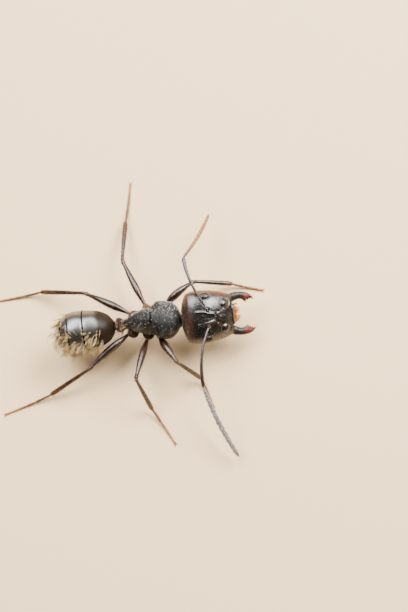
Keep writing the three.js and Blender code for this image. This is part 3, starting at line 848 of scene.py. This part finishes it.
def makeGasterPlate(i):
    first, last = i == 0, i == 3
    start = gaster["edges"][i] - (0 if first else gaster["tuck"])
    end = gaster["edges"][i + 1]
    half, deep = gaster["width"] / 2, gaster["depth"] / 2

    def scaled(size):
        def valueAt(place):
            share = start + (end - start) * place
            flare = 0 if last else gaster["flare"] * eased(share, end - 0.09, end)
            tuck = 0 if first else 0.05 * (1 - eased(share, start, start + gaster["tuck"] + 0.05))
            return size * gasterEgg(share) * (1 + flare - tuck)
        return valueAt

    bm = bodyAlong(stretchOf(gasterLine, start, end), scaled(half), scaled(deep * 1.02), scaled(deep * 0.98),
                   ends=(0.05, 0.3 if last else 0.012), rings=120, around=180, gather=0.35)

    def relief(co, normal):
        # the upper plate overlaps the lower one along each side
        high = (co - gasterStart).dot(gasterRise) / deep
        return -0.025 * eased(-high, 0.34, 0.4) + 0.012 * hump(high + 0.3, 0.06)

    sculpt(bm, relief)
    fromRear = lambda place: (1 - place) * (end - start)
    markByPlace(bm, "rim", lambda place: 0 if last else eased(fromRear(place), 0.008, 0.0))
    # a band just before each plate's rear edge is painted shadow, where the next plate tucks under it
    markByPlace(bm, "seam", lambda place: 0 if last else eased(fromRear(place), 0.036, 0.024))
    markByPlace(bm, "dull", lambda place: 1 - eased(place, 0.45, 0.72) if first else 0)
    return addPiece(bm, f"gasterPlate{i + 1}", gasterFinish, [f"gaster_{i + 1}"])


gasterPieces = [makeGasterPlate(i) for i in range(4)]
print("gaster made")


# Legs

legs = {
    "ankleHeight": 0.3, "footRadius": 0.06, "tarsomeres": (0, 0.46, 0.64, 0.77, 0.87, 1),
    "footThickness": (0.046, 0.042, 0.04, 0.038, 0.036),
    "front": {"femur": 1.8, "tibia": 1.8, "tarsus": 1.35, "thick": 0.21},
    "middle": {"femur": 2.45, "tibia": 2.15, "tarsus": 1.85, "thick": 0.18},
    "hind": {"femur": 2.5, "tibia": 2.4, "tarsus": 2.3, "thick": 0.2},
}
stances = [
    {"pair": "front", "side": "left", "coxa": (0.92, 0.36, 1.6), "hip": (0.4, 0.8, 1.25),
     "heading": 41, "rise": -3, "bow": 0.3, "tibiaHeading": 2, "tarsusHeading": -12},
    {"pair": "front", "side": "right", "coxa": (0.92, -0.36, 1.6), "hip": (0.2, -0.52, 1.28),
     "heading": -54, "rise": 19, "bow": 0.16, "tibiaHeading": -28, "tarsusHeading": -67},
    {"pair": "middle", "side": "left", "coxa": (-0.2, 0.4, 1.5), "hip": (-0.5, 0.95, 1.06),
     "heading": 117.5, "rise": 0, "bow": 0.1, "tibiaHeading": 92, "tarsusHeading": 86},
    {"pair": "middle", "side": "right", "coxa": (-0.2, -0.4, 1.5), "hip": (-0.33, -0.5, 1.1),
     "heading": -97, "rise": 26, "bow": 0.1, "tibiaHeading": -71, "tarsusHeading": -56},
    {"pair": "hind", "side": "left", "coxa": (-0.86, 0.34, 1.5), "hip": (-1.12, 0.56, 1.14),
     "heading": 154, "rise": -2, "bow": 0.14, "tibiaHeading": 172, "tarsusHeading": -172},
    {"pair": "hind", "side": "right", "coxa": (-0.86, -0.34, 1.5), "hip": (-1.15, -0.3, 1.12),
     "heading": -138, "rise": 4, "bow": 0.14, "tibiaHeading": -156, "tarsusHeading": -160},
]


def spike(start, end, radius, bend):
    # a tapered spine, such as a claw or a spur
    line = bent(start, (start + end) / 2 + bend, end)
    taper = lambda place: radius * (1.02 - place)
    return bodyAlong(line, taper, ends=(0.1, 0.02), rings=14, around=10, gather=0.2)


def makeLeg(stance):
    pair, side = stance["pair"], stance["side"]
    lengths = legs[pair]
    coxa, hip = Vector(stance["coxa"]), Vector(stance["hip"])
    knee = hip + pointing(stance["heading"], stance["rise"]) * lengths["femur"]
    drop = math.degrees(math.asin((knee.z - legs["ankleHeight"]) / lengths["tibia"]))
    ankle = knee + pointing(stance["tibiaHeading"], -drop) * lengths["tibia"]
    footAhead = pointing(stance["tarsusHeading"], 0)
    radius = legs["footRadius"]
    toe = ankle + footAhead * lengths["tarsus"]
    toe.z = radius
    title = f"{pair.title()}{side.title()}"
    node = f"{pair}_{side}"

    coxaWide = profile((0, 0.26), (0.35, 0.27), (0.75, 0.2), (1, 0.14))
    coxaBody = bodyAlong(straight(coxa, hip), coxaWide, ends=(0.3, 0.12), rings=50, around=36, gather=0.3)
    markByPlace(coxaBody, "rustAndPaintedReflection", lambda place: 0.55 + 0.4 * eased(place, 0.3, 0.8))
    coxaPiece = addPiece(coxaBody, f"coxaCone{title}", trunkFinish, [f"coxa_{node}"])

    # the femur hangs on the coxa by a small ring, swells early and narrows to the knee
    thick = lengths["thick"]
    femurLine = bowed(hip, knee, stance["bow"])
    femurHigh = profile((0, 0.08), (0.05, 0.085), (0.1, 0.1), (0.34, thick), (0.6, thick * 0.9),
                        (0.85, 0.105), (0.91, 0.1), (0.965, 0.122), (1, 0.09))
    femurWide = lambda place: femurHigh(place) * 0.86
    femur = bodyAlong(femurLine, femurWide, femurHigh, ends=(0.02, 0.03), rings=90, around=32, gather=0.4)
    markByPlace(femur, "rustAndPaintedReflection", rustyEnds(0.4, 0.03, 0.2, 0.45, 0.9))
    hipAhead = femurLine(0.0)[1]
    ringLine = straight(hip - hipAhead * 0.12, hip + hipAhead * 0.14)
    ring = bodyAlong(ringLine, lambda place: 0.115, ends=(0.35, 0.35), rings=18, around=24)
    markByPlace(ring, "rustAndPaintedReflection", lambda place: 0.5)
    femurPiece = addPiece(
        joined(femur, ring), f"femurShaft{title}", legFinish, [f"femur_{node}"])

    tibiaWay = (ankle - knee).normalized()
    tibiaHigh = profile((0, 0.065), (0.04, 0.095), (0.1, 0.082), (0.4, 0.105), (0.8, 0.122), (0.96, 0.115),
                        (1, 0.09))
    tibiaLine = bowed(knee - tibiaWay * 0.03, ankle, 0.02)
    tibiaWide = lambda place: tibiaHigh(place) * 0.88
    tibia = bodyAlong(tibiaLine, tibiaWide, tibiaHigh, ends=(0.02, 0.02), rings=90, around=28, gather=0.4)
    markByPlace(tibia, "rustAndPaintedReflection", rustyEnds(0.35, 0.02, 0.15, 0.55, 0.45))
    spur = spike(ankle - tibiaWay * 0.08 - up * 0.04, ankle + footAhead * 0.2 - up * 0.1, 0.022, -up * 0.02)
    markByPlace(spur, "rustAndPaintedReflection", lambda place: 1.0)
    tibiaPiece = addPiece(
        joined(tibia, spur), f"tibiaShaft{title}", legFinish, [f"tibia_{node}"])

    # five foot joints that come down to the floor and lie along it, and two claws
    knuckle = ankle + footAhead * lengths["tarsus"] * 0.3
    knuckle.z = radius * 0.4
    footLine = bent(ankle - tibiaWay * 0.03, knuckle, toe)
    parts = []
    shares = legs["tarsomeres"]
    for i, thick in enumerate(legs["footThickness"]):
        shape = profile((0, 0.75), (0.2, 1), (0.8, 1.2), (1, 1.25), size=thick)
        stretch = stretchOf(footLine, max(0, shares[i] - 0.008), shares[i + 1])
        parts.append(bodyAlong(stretch, shape, rings=30, around=18, gather=0.4))
        markByPlace(parts[-1], "rustAndPaintedReflection", lambda place: 0.25 + 0.15 * i)
    across = up.cross(footAhead)
    for sign in (1, -1):
        root = toe + across * sign * 0.02
        tip = toe + footAhead * 0.13 + across * sign * 0.1 - up * (radius - 0.006)
        claw = spike(root, tip, 0.022, footAhead * 0.03 + up * 0.03)
        markByPlace(claw, "rustAndPaintedReflection", lambda place: 0.7)
        parts.append(claw)
    foot = joined(*parts)
    for vert in foot.verts:
        vert.co.z = max(vert.co.z, 0)
    footPiece = addPiece(foot, f"footJoints{title}", tarsusFinish, [f"tarsus_{node}"])
    return [
        {"piece": coxaPiece, "way": hip - coxa, "hairs": 100, "length": (0.08, 0.14)},
        {"piece": femurPiece, "way": knee - hip, "hairs": 150, "length": (0.07, 0.12)},
        {"piece": tibiaPiece, "way": ankle - knee, "hairs": 260, "length": (0.07, 0.13)},
        {"piece": footPiece, "way": toe - ankle, "hairs": 300, "length": (0.05, 0.1)},
    ]


legParts = [entry for stance in stances for entry in makeLeg(stance)]
print("legs made")


# Hair: tapered solid hairs, joined into one mesh for each part of the body

def hairTemplate(bends):
    # one three-sided hair of length 1 and radius 1, up +Z
    bm = bmesh.new()
    bmesh.ops.create_cone(bm, cap_ends=True, cap_tris=False, segments=3, radius1=1, radius2=0, depth=1)
    bmesh.ops.translate(bm, vec=(0, 0, 0.5), verts=bm.verts)
    for i in range(1, bends):
        sliced(bm, (0, 0, i / bends), (0, 0, 1), 1e-6)
    bmesh.ops.remove_doubles(bm, verts=bm.verts, dist=1e-6)
    bmesh.ops.triangulate(bm, faces=bm.faces)
    bm.verts.index_update()
    points = np.array([vert.co for vert in bm.verts])
    points[:, :2] *= 1 + points[:, 2:3]
    faces = np.array([[vert.index for vert in face.verts] for face in bm.faces])
    bm.free()
    return points, faces


def valuesOf(source, name, width, kind=np.float32):
    values = np.empty(len(source) * width, kind)
    source.foreach_get(name, values)
    return values.reshape(-1, width)


def skinOf(piece):
    # a piece's triangles in millimetres, with their normals, wraps and areas
    mesh = piece.data
    mesh.calc_loop_triangles()
    corners, loops = (valuesOf(mesh.loop_triangles, name, 3, np.int32) for name in ("vertices", "loops"))
    points, normals = (valuesOf(mesh.vertices, name, 3) for name in ("co", "normal"))
    triangles = points[corners] * 1000 - np.array(footprintShift)
    normals, wraps = normals[corners], valuesOf(mesh.uv_layers["wrap"].uv, "vector", 2)[loops]
    # the mesh tools may list triangles in another order each run, so they are sorted by place
    key = np.rint(triangles * 1e5) @ np.array((1.0, 1009.0, 1000003.0))
    order = np.argsort(key.sum(1), kind="stable")[:, None]
    turn = ((key.argmin(1)[:, None] + np.arange(3)) % 3)[order[:, 0]]
    triangles, normals, wraps = (values[order, turn] for values in (triangles, normals, wraps))
    first, second, third = triangles[:, 0], triangles[:, 1], triangles[:, 2]
    area = np.linalg.norm(np.cross(second - first, third - first), axis=1) / 2
    return triangles, normals, wraps, area


def unit(vectors):
    return vectors / np.maximum(np.linalg.norm(vectors, axis=-1, keepdims=True), 1e-9)


def pickRoots(skin, count, weightAt):
    triangles, normals, wraps, area = skin
    weight = area * weightAt(triangles.mean(1), unit(normals.mean(1)))
    chosen = rng.choice(len(area), count, p=weight / weight.sum())
    first, second = rng.random((2, count, 1))
    flip = first + second > 1
    first, second = np.where(flip, 1 - first, first), np.where(flip, 1 - second, second)

    def spread(values):
        corner = values[chosen]
        return corner[:, 0] * (1 - first - second) + corner[:, 1] * first + corner[:, 2] * second

    return spread(triangles), unit(spread(normals)), spread(wraps)


def gathered(roots, tips, size, crowd, pull):
    # roots crowd and tips lean together in tufts of a few hairs, and each tuft is a little paler or darker
    tufts = max(1, len(roots) // size)
    tree = kdtree.KDTree(tufts)
    for i in range(tufts):
        tree.insert(roots[i], i)
    tree.balance()
    nearest = np.array([tree.find(root)[1] for root in roots])
    crowded = roots + (roots[nearest] - roots) * crowd
    return crowded, tips + (tips[nearest] - tips) * pull, rng.normal(0, 0.3, tufts)[nearest]


hairBuried, hairAboveFloor, hairPatch = 0.02, 0.002, (0.001, 0.003)


def growHairs(skin, look, points):
    count = look["count"]
    everywhere = lambda spots, normals: np.ones(len(spots))
    roots, normals, wraps = pickRoots(skin, count, look.get("weight", everywhere))
    lie = np.tile(np.array(look["lie"], float), (count, 1))
    lie = unit(lie - normals * (lie * normals).sum(1, keepdims=True))
    side = np.cross(normals, lie)
    yaw = np.radians(rng.normal(0, look["wander"], (count, 1)))
    lie, side = lie * np.cos(yaw) + side * np.sin(yaw), side * np.cos(yaw) - lie * np.sin(yaw)
    length = rng.uniform(*look["length"], (count, 1))
    lift, settle = (np.radians(rng.uniform(*look[key], (count, 1))) for key in ("lift", "settle"))
    rising = lie * np.cos(lift) + normals * np.sin(lift)
    middle = roots + (rising + side * rng.normal(0, 0.12, (count, 1))) * length * 0.5
    tips = roots + (lie * np.cos(settle) + normals * np.sin(settle)) * length
    shift = 0
    if "tuft" in look:
        roots, tips, shift = gathered(roots, tips, *look["tuft"])
    start = roots - normals * hairBuried
    place = points[:, 2][None, :, None]
    start, middle, tips = start[:, None], middle[:, None], tips[:, None]
    centre = start * (1 - place) ** 2 + middle * 2 * place * (1 - place) + tips * place * place
    along = unit((middle - start) * (1 - place) + (tips - middle) * place)
    across = unit(side[:, None] - along * (side[:, None] * along).sum(2, keepdims=True))
    over = np.cross(along, across)
    thick = look["thickness"] / 2 * rng.uniform(0.8, 1.2, (count, 1, 1))
    verts = centre + (across * points[:, 0][None, :, None] + over * points[:, 1][None, :, None]) * thick
    verts[:, :, 2] = np.maximum(verts[:, :, 2], hairAboveFloor)
    tone = np.clip(rng.normal(look["tone"], 0.2, count) + shift, 0, 1)
    return verts, wraps, tone


def fill(target, name, values, kind=np.float32):
    target.foreach_set(name, values.astype(kind).ravel())


def makeCoat(name, finish, growths, bends=3):
    # Every piece that carries hair has its own square of the map, and each hair is a small patch at its root.
    points, faces = hairTemplate(bends)
    skins = {growth["piece"].name: growth["piece"] for growth in growths}
    skins = {pieceName: skinOf(piece) for pieceName, piece in skins.items()}
    squares = math.ceil(math.sqrt(len(skins)))
    verts, wraps, tones = [], [], []
    for growth in growths:
        carrier = growth["piece"].name
        grown, roots, tone = growHairs(skins[carrier], growth, points)
        row, column = divmod(list(skins).index(carrier), squares)
        corner = np.array((column, row))
        verts.append(grown)
        wraps.append((np.clip(roots % 1, 0.01, 0.99) + corner) / squares)
        tones.append(tone)
    verts, wraps, tones = np.concatenate(verts), np.concatenate(wraps), np.concatenate(tones)
    count, size = verts.shape[:2]
    flat = (verts.reshape(-1, 3) + np.array(footprintShift)) * mm
    corners = (faces[None] + (np.arange(count) * size)[:, None, None]).reshape(-1)
    patch = np.stack([points[:, 0] * hairPatch[0], (points[:, 2] - 0.5) * hairPatch[1]], 1)
    mapped = (wraps[:, None] + patch[None]).reshape(-1, 2)[corners]

    mesh = bpy.data.meshes.new(name)
    mesh.vertices.add(len(flat))
    mesh.loops.add(len(corners))
    mesh.polygons.add(len(corners) // 3)
    fill(mesh.vertices, "co", flat)
    fill(mesh.loops, "vertex_index", corners, np.int32)
    fill(mesh.polygons, "loop_start", np.arange(0, len(corners), 3), np.int32)
    mesh.update(calc_edges=True)
    fill(mesh.uv_layers.new(name="OFBake").uv, "vector", mapped)
    # each hair is painted darker toward its root, a painted shade among the hairs
    paintedRootShade = 0.06 + 0.94 * points[:, 2] ** 1.4
    fill(mesh.attributes.new("tone", "FLOAT", "POINT").data, "value", tones[:, None] * paintedRootShade[None])
    mesh.shade_smooth()
    print(name, count, "hairs", len(corners) // 3, "triangles")
    return linkPiece(mesh, finish, [])


# The gaster's coat, plate by plate: flat down, short clumps on the flank, locks that hang below it, and a few
# long hairs.
gasterCoat = {
    "down": (400, 300, 200, 100), "clumps": (330, 270, 280, 130), "locks": (230, 220, 260, 130),
    "longHairs": (10, 14, 20, 16), "bareTop": (1.0, 1.0, 0.6, 0.0), "bareFront": (1.0, 0.0, 0.0, 0.0),
}


def smoothSteps(values, low, high):
    share = np.clip((values - low) / (high - low), 0, 1)
    return share * share * (3 - 2 * share)


def gasterGrowths(piece, i):
    coat = {key: shares[i] for key, shares in gasterCoat.items()}

    def flankwards(first, full):
        # hair that starts and is full at two turns to the right; the top is bare, and the left side is thin
        def weight(spots, normals):
            high = normals @ np.array(gasterRise)
            right = normals @ np.array(gasterSide)
            place = (spots - np.array(gasterStart)) @ np.array(gasterAxis) / gaster["length"]
            left = 1 - smoothSteps(right - 0.4 * high, first, full)
            bare = left * (1 - 0.5 * smoothSteps(-high, -0.02, 0.35))
            front = 1 - smoothSteps(place, 0.14, 0.34)
            return (1 - coat["bareTop"] * bare * 0.995) * (1 - coat["bareFront"] * front) + 0.001
        return weight

    growths = [
        {"count": coat["down"], "length": (0.1, 0.17), "thickness": 0.007, "lift": (3, 8), "settle": (0, 4),
         "lie": gasterAxis, "wander": 10, "weight": flankwards(-0.3, 0.2), "tone": 0.3},
        {"count": coat["clumps"], "length": (0.18, 0.32), "thickness": 0.024, "lift": (35, 65),
         "settle": (20, 50), "lie": gasterAxis + gasterSide * 0.4, "wander": 40,
         "weight": flankwards(-0.5, -0.05), "tone": 1.0, "tuft": (8, 0.75, 0.7)},
        {"count": coat["locks"], "length": (0.42, 0.7), "thickness": 0.024, "lift": (30, 54),
         "settle": (24, 44), "lie": gasterAxis * 0.5 + gasterSide - up * 0.1, "wander": 14,
         "weight": flankwards(0.25, 0.6), "tone": 1.0, "tuft": (9, 0.7, 0.8)},
        {"count": coat["longHairs"], "length": (0.4, 0.6), "thickness": 0.02, "lift": (50, 75),
         "settle": (35, 55), "lie": gasterAxis, "wander": 25, "weight": flankwards(-0.3, 0.2), "tone": 0.85},
    ]
    return [{"piece": piece, **growth} for growth in growths]


for i, piece in enumerate(gasterPieces):
    makeCoat(piece.name.replace("Plate", "Hair"), goldHair, gasterGrowths(piece, i))

# the trunk's fine down, flat pale specks that thicken toward its left, the lit side, as a painted sheen, and
# a few upright hairs
rearward = Vector((-1, 0, -0.15))
trunkCoat = [
    ((1700, 900, 1500, 450, 300), {
        "length": (0.05, 0.09), "thickness": 0.007, "lift": (10, 30), "settle": (4, 14), "wander": 30,
        "tone": 0.2}),
    ((420, 220, 360), {
        "length": (0.05, 0.09), "thickness": 0.026, "lift": (5, 18), "settle": (2, 8), "wander": 45,
        # the pale specks crowd toward the left, the side the lamps light, as a painted sheen
        "tone": 1.0, "weight": lambda spots, normals: 0.12 + smoothSteps(normals[:, 1], -0.1, 0.5)}),
    ((40, 18, 30, 24), {
        "length": (0.2, 0.36), "thickness": 0.01, "lift": (65, 85), "settle": (50, 72), "wander": 30,
        "tone": 0.5, "weight": lambda spots, normals: np.clip(normals[:, 2] + 0.3, 0, 1)}),
]
makeCoat("trunkDown", silverHair, [
    {"piece": piece, "count": count, "lie": rearward, **look}
    for counts, look in trunkCoat for piece, count in zip([*trunkPieces, waistPiece, neckPiece], counts)], 2)


def waistward(spots, normals):
    # the right side of the waist and of the trunk's rear end
    return np.clip(0.5 - normals[:, 1], 0, 1) * smoothSteps(-spots[:, 0], 0.75, 1.15) + 0.001


makeCoat("waistHair", goldHair, [
    {"piece": piece, "count": count, "length": (0.2, 0.34), "thickness": 0.018, "lift": (35, 65),
     "settle": (20, 45), "lie": rearward, "wander": 25, "tone": 0.7, "weight": waistward,
     "tuft": (6, 0.5, 0.6)}
    for piece, count in ((waistPiece, 110), (trunkPieces[2], 24))])

headFront = headFrame.to_3x3() @ Vector((1, 0, 0))
headUp = headFrame.to_3x3() @ Vector((0, 0, 1))


def inHead(spots):
    # the same spots from the head's own centre
    back = headFrame.inverted()
    return spots @ np.array(back.to_3x3()).T + np.array(back.translation)


def headDownWeight(spots, normals):
    # thick at the back of the head and thin elsewhere
    local = inHead(spots)
    rear = np.clip((-local[:, 0] - 0.55) / 0.4, 0, 1)
    cheeks = np.clip((np.abs(local[:, 1]) - 0.75) / 0.3, 0, 1)
    return 0.05 + rear + 0.05 * cheeks


makeCoat("headDown", silverHair, [
    {"piece": headPiece, "count": 1500, "length": (0.05, 0.08), "thickness": 0.006, "lift": (10, 28),
     "settle": (4, 14), "lie": headFront, "wander": 25, "weight": headDownWeight, "tone": 0.3},
    {"piece": headPiece, "count": 60, "length": (0.12, 0.22), "thickness": 0.01, "lift": (60, 85),
     "settle": (45, 70), "lie": headFront, "wander": 40, "tone": 0.7,
     "weight": lambda spots, normals: np.clip(normals @ np.array(headUp), 0, 1)},
], 2)


def lipWeight(spots, normals):
    # only on the front edge of the clypeus
    local = inHead(spots)
    return (local[:, 0] > 1.12) * (np.abs(local[:, 1]) < 0.55) * 1.0 + 1e-9


makeCoat("mouthBristles", amberHair, [
    {"piece": headPiece, "count": 60, "length": (0.14, 0.3), "thickness": 0.018, "lift": (30, 60),
     "settle": (10, 40), "lie": headFront, "wander": 20, "weight": lipWeight, "tone": 0.6},
    {"piece": lipPiece, "count": 160, "length": (0.08, 0.2), "thickness": 0.014, "lift": (20, 50),
     "settle": (10, 30), "lie": headFront, "wander": 25, "tone": 0.55},
    *({"piece": piece, "count": 130, "length": (0.06, 0.13), "thickness": 0.01, "lift": (20, 50),
       "settle": (10, 30), "lie": headFront, "wander": 25, "tone": 0.5} for piece in jawPieces),
], 2)

feelerGrowths = []
for feeler in feelerPieces:
    stance = feeler["stance"]
    feelerGrowths += [
        {"piece": feeler["scape"], "count": 350, "length": (0.05, 0.09), "thickness": 0.008, "lift": (15, 40),
         "settle": (6, 20), "lie": feeler["scapeWay"], "wander": 15, "tone": 0.4},
        {"piece": feeler["rings"], "count": stance["down"], "length": (0.035, 0.06),
         "thickness": stance["downWide"], "lift": (15, 40), "settle": (8, 25), "lie": feeler["ringWay"],
         "wander": 15, "tone": stance["downToneWithSheen"]}]
makeCoat("feelerDown", silverHair, feelerGrowths, 2)

makeCoat("legBristles", amberHair, [
    {"piece": entry["piece"], "count": entry["hairs"], "length": entry["length"], "thickness": 0.008,
     "lift": (15, 35), "settle": (6, 22), "lie": entry["way"], "wander": 12, "tone": 0.3}
    for entry in legParts], 2)
print("hair grown")


# Floor, lights and camera

studio = {
    "distance": 160.0, "target": (0, 0.1, 2.2), "leanRight": 12, "leanBack": 14, "roll": -1,
    "pixelsPerMm": 22.3, "targetPixel": (150, 318), "frameSize": (408, 612),
    "floorColour": (0.64, 0.455, 0.26), "skyColour": (1.0, 0.88, 0.75), "skyStrength": 0.13,
}


def viewAxes():
    # the camera's right, up and backward directions, from how it leans off straight down
    roll = math.radians(studio["roll"])
    right = Vector((math.cos(roll), -math.sin(roll), 0))
    ahead = Vector((math.sin(roll), math.cos(roll), 0))
    aside, below = (math.sin(math.radians(studio[key])) for key in ("leanRight", "leanBack"))
    back = right * aside - ahead * below
    back.z = math.sqrt(1 - back.length_squared)
    top = (ahead - back * ahead.dot(back)).normalized()
    return top.cross(back), top, back


def makeCamera():
    right, top, back = viewAxes()
    (wide, tall), (column, row) = studio["frameSize"], studio["targetPixel"]
    scale = studio["pixelsPerMm"]
    spot = Vector(studio["target"]) + back * studio["distance"]
    spot += right * ((wide / 2 - column) / scale) + top * ((row - tall / 2) / scale)
    lens = bpy.data.cameras.new("camera")
    lens.sensor_width = 36
    lens.lens = lens.sensor_width * studio["distance"] / (tall / scale)
    lens.clip_start = 0.001
    camera = placed("camera", lens)
    turn = Matrix((right, top, back)).transposed().to_4x4()
    camera.matrix_world = Matrix.Translation(antToModel @ spot) @ turn
    bpy.context.scene.camera = camera


lamps = [
    {"name": "leftSoftbox", "offset": (-62, 65, 92), "size": (84, 64), "strength": 0.36},
    {"name": "rightSoftbox", "offset": (56, 72, 88), "size": (80, 60), "strength": 0.62},
    {"name": "lowSoftbox", "offset": (-24, 104, 56), "size": (96, 44), "strength": 0.2},
    {"name": "fillSun", "offset": (-0.1, 0.3, 1), "angle": 50, "strength": 0.1},
]


def makeLamp(look):
    # Offsets are millimetres along the camera's right, up and back. A lamp with a size is a rectangle that
    # faces the ant, and the other is a wide sun.
    right, top, back = viewAxes()
    aside, above, toward = look["offset"]
    offset = right * aside + top * above + back * toward
    light = bpy.data.lights.new(look["name"], "AREA" if "size" in look else "SUN")
    light.energy = look["strength"]
    if "size" in look:
        light.shape = "RECTANGLE"
        light.size, light.size_y = (side * mm for side in look["size"])
        light.color = (1, 0.99, 0.97)
    else:
        light.angle = math.radians(look["angle"])
    turn = offset.to_track_quat("Z", "Y").to_matrix().to_4x4()
    placed(look["name"], light).matrix_world = Matrix.Translation(antToModel @ offset) @ turn


def makeFloor():
    finish = Finish("paleFloor", {"Specular IOR Level": 0.1})
    cloud = finish.noise(0.05, 2.0)
    warm = studio["floorColour"]
    finish.feed(baseColor=finish.blend(cloud, warm, [value * 0.97 for value in warm]))
    finish.feed(roughness=finish.between(cloud, 0.0, 1.0, 0.8, 0.9))
    bm = bmesh.new()
    bmesh.ops.create_grid(bm, x_segments=1, y_segments=1, size=4)
    mesh = meshFrom(bm, "floor")
    mesh.materials.append(finish.material)
    placed("floor", mesh)


def makeSky():
    world = bpy.data.worlds.new("studioSky")
    world.use_nodes = True
    background = world.node_tree.nodes["Background"]
    background.inputs["Color"].default_value = (*studio["skyColour"], 1)
    background.inputs["Strength"].default_value = studio["skyStrength"]
    bpy.context.scene.world = world


makeCamera()
makeFloor()
makeSky()
for lamp in lamps:
    makeLamp(lamp)
print("studio made")
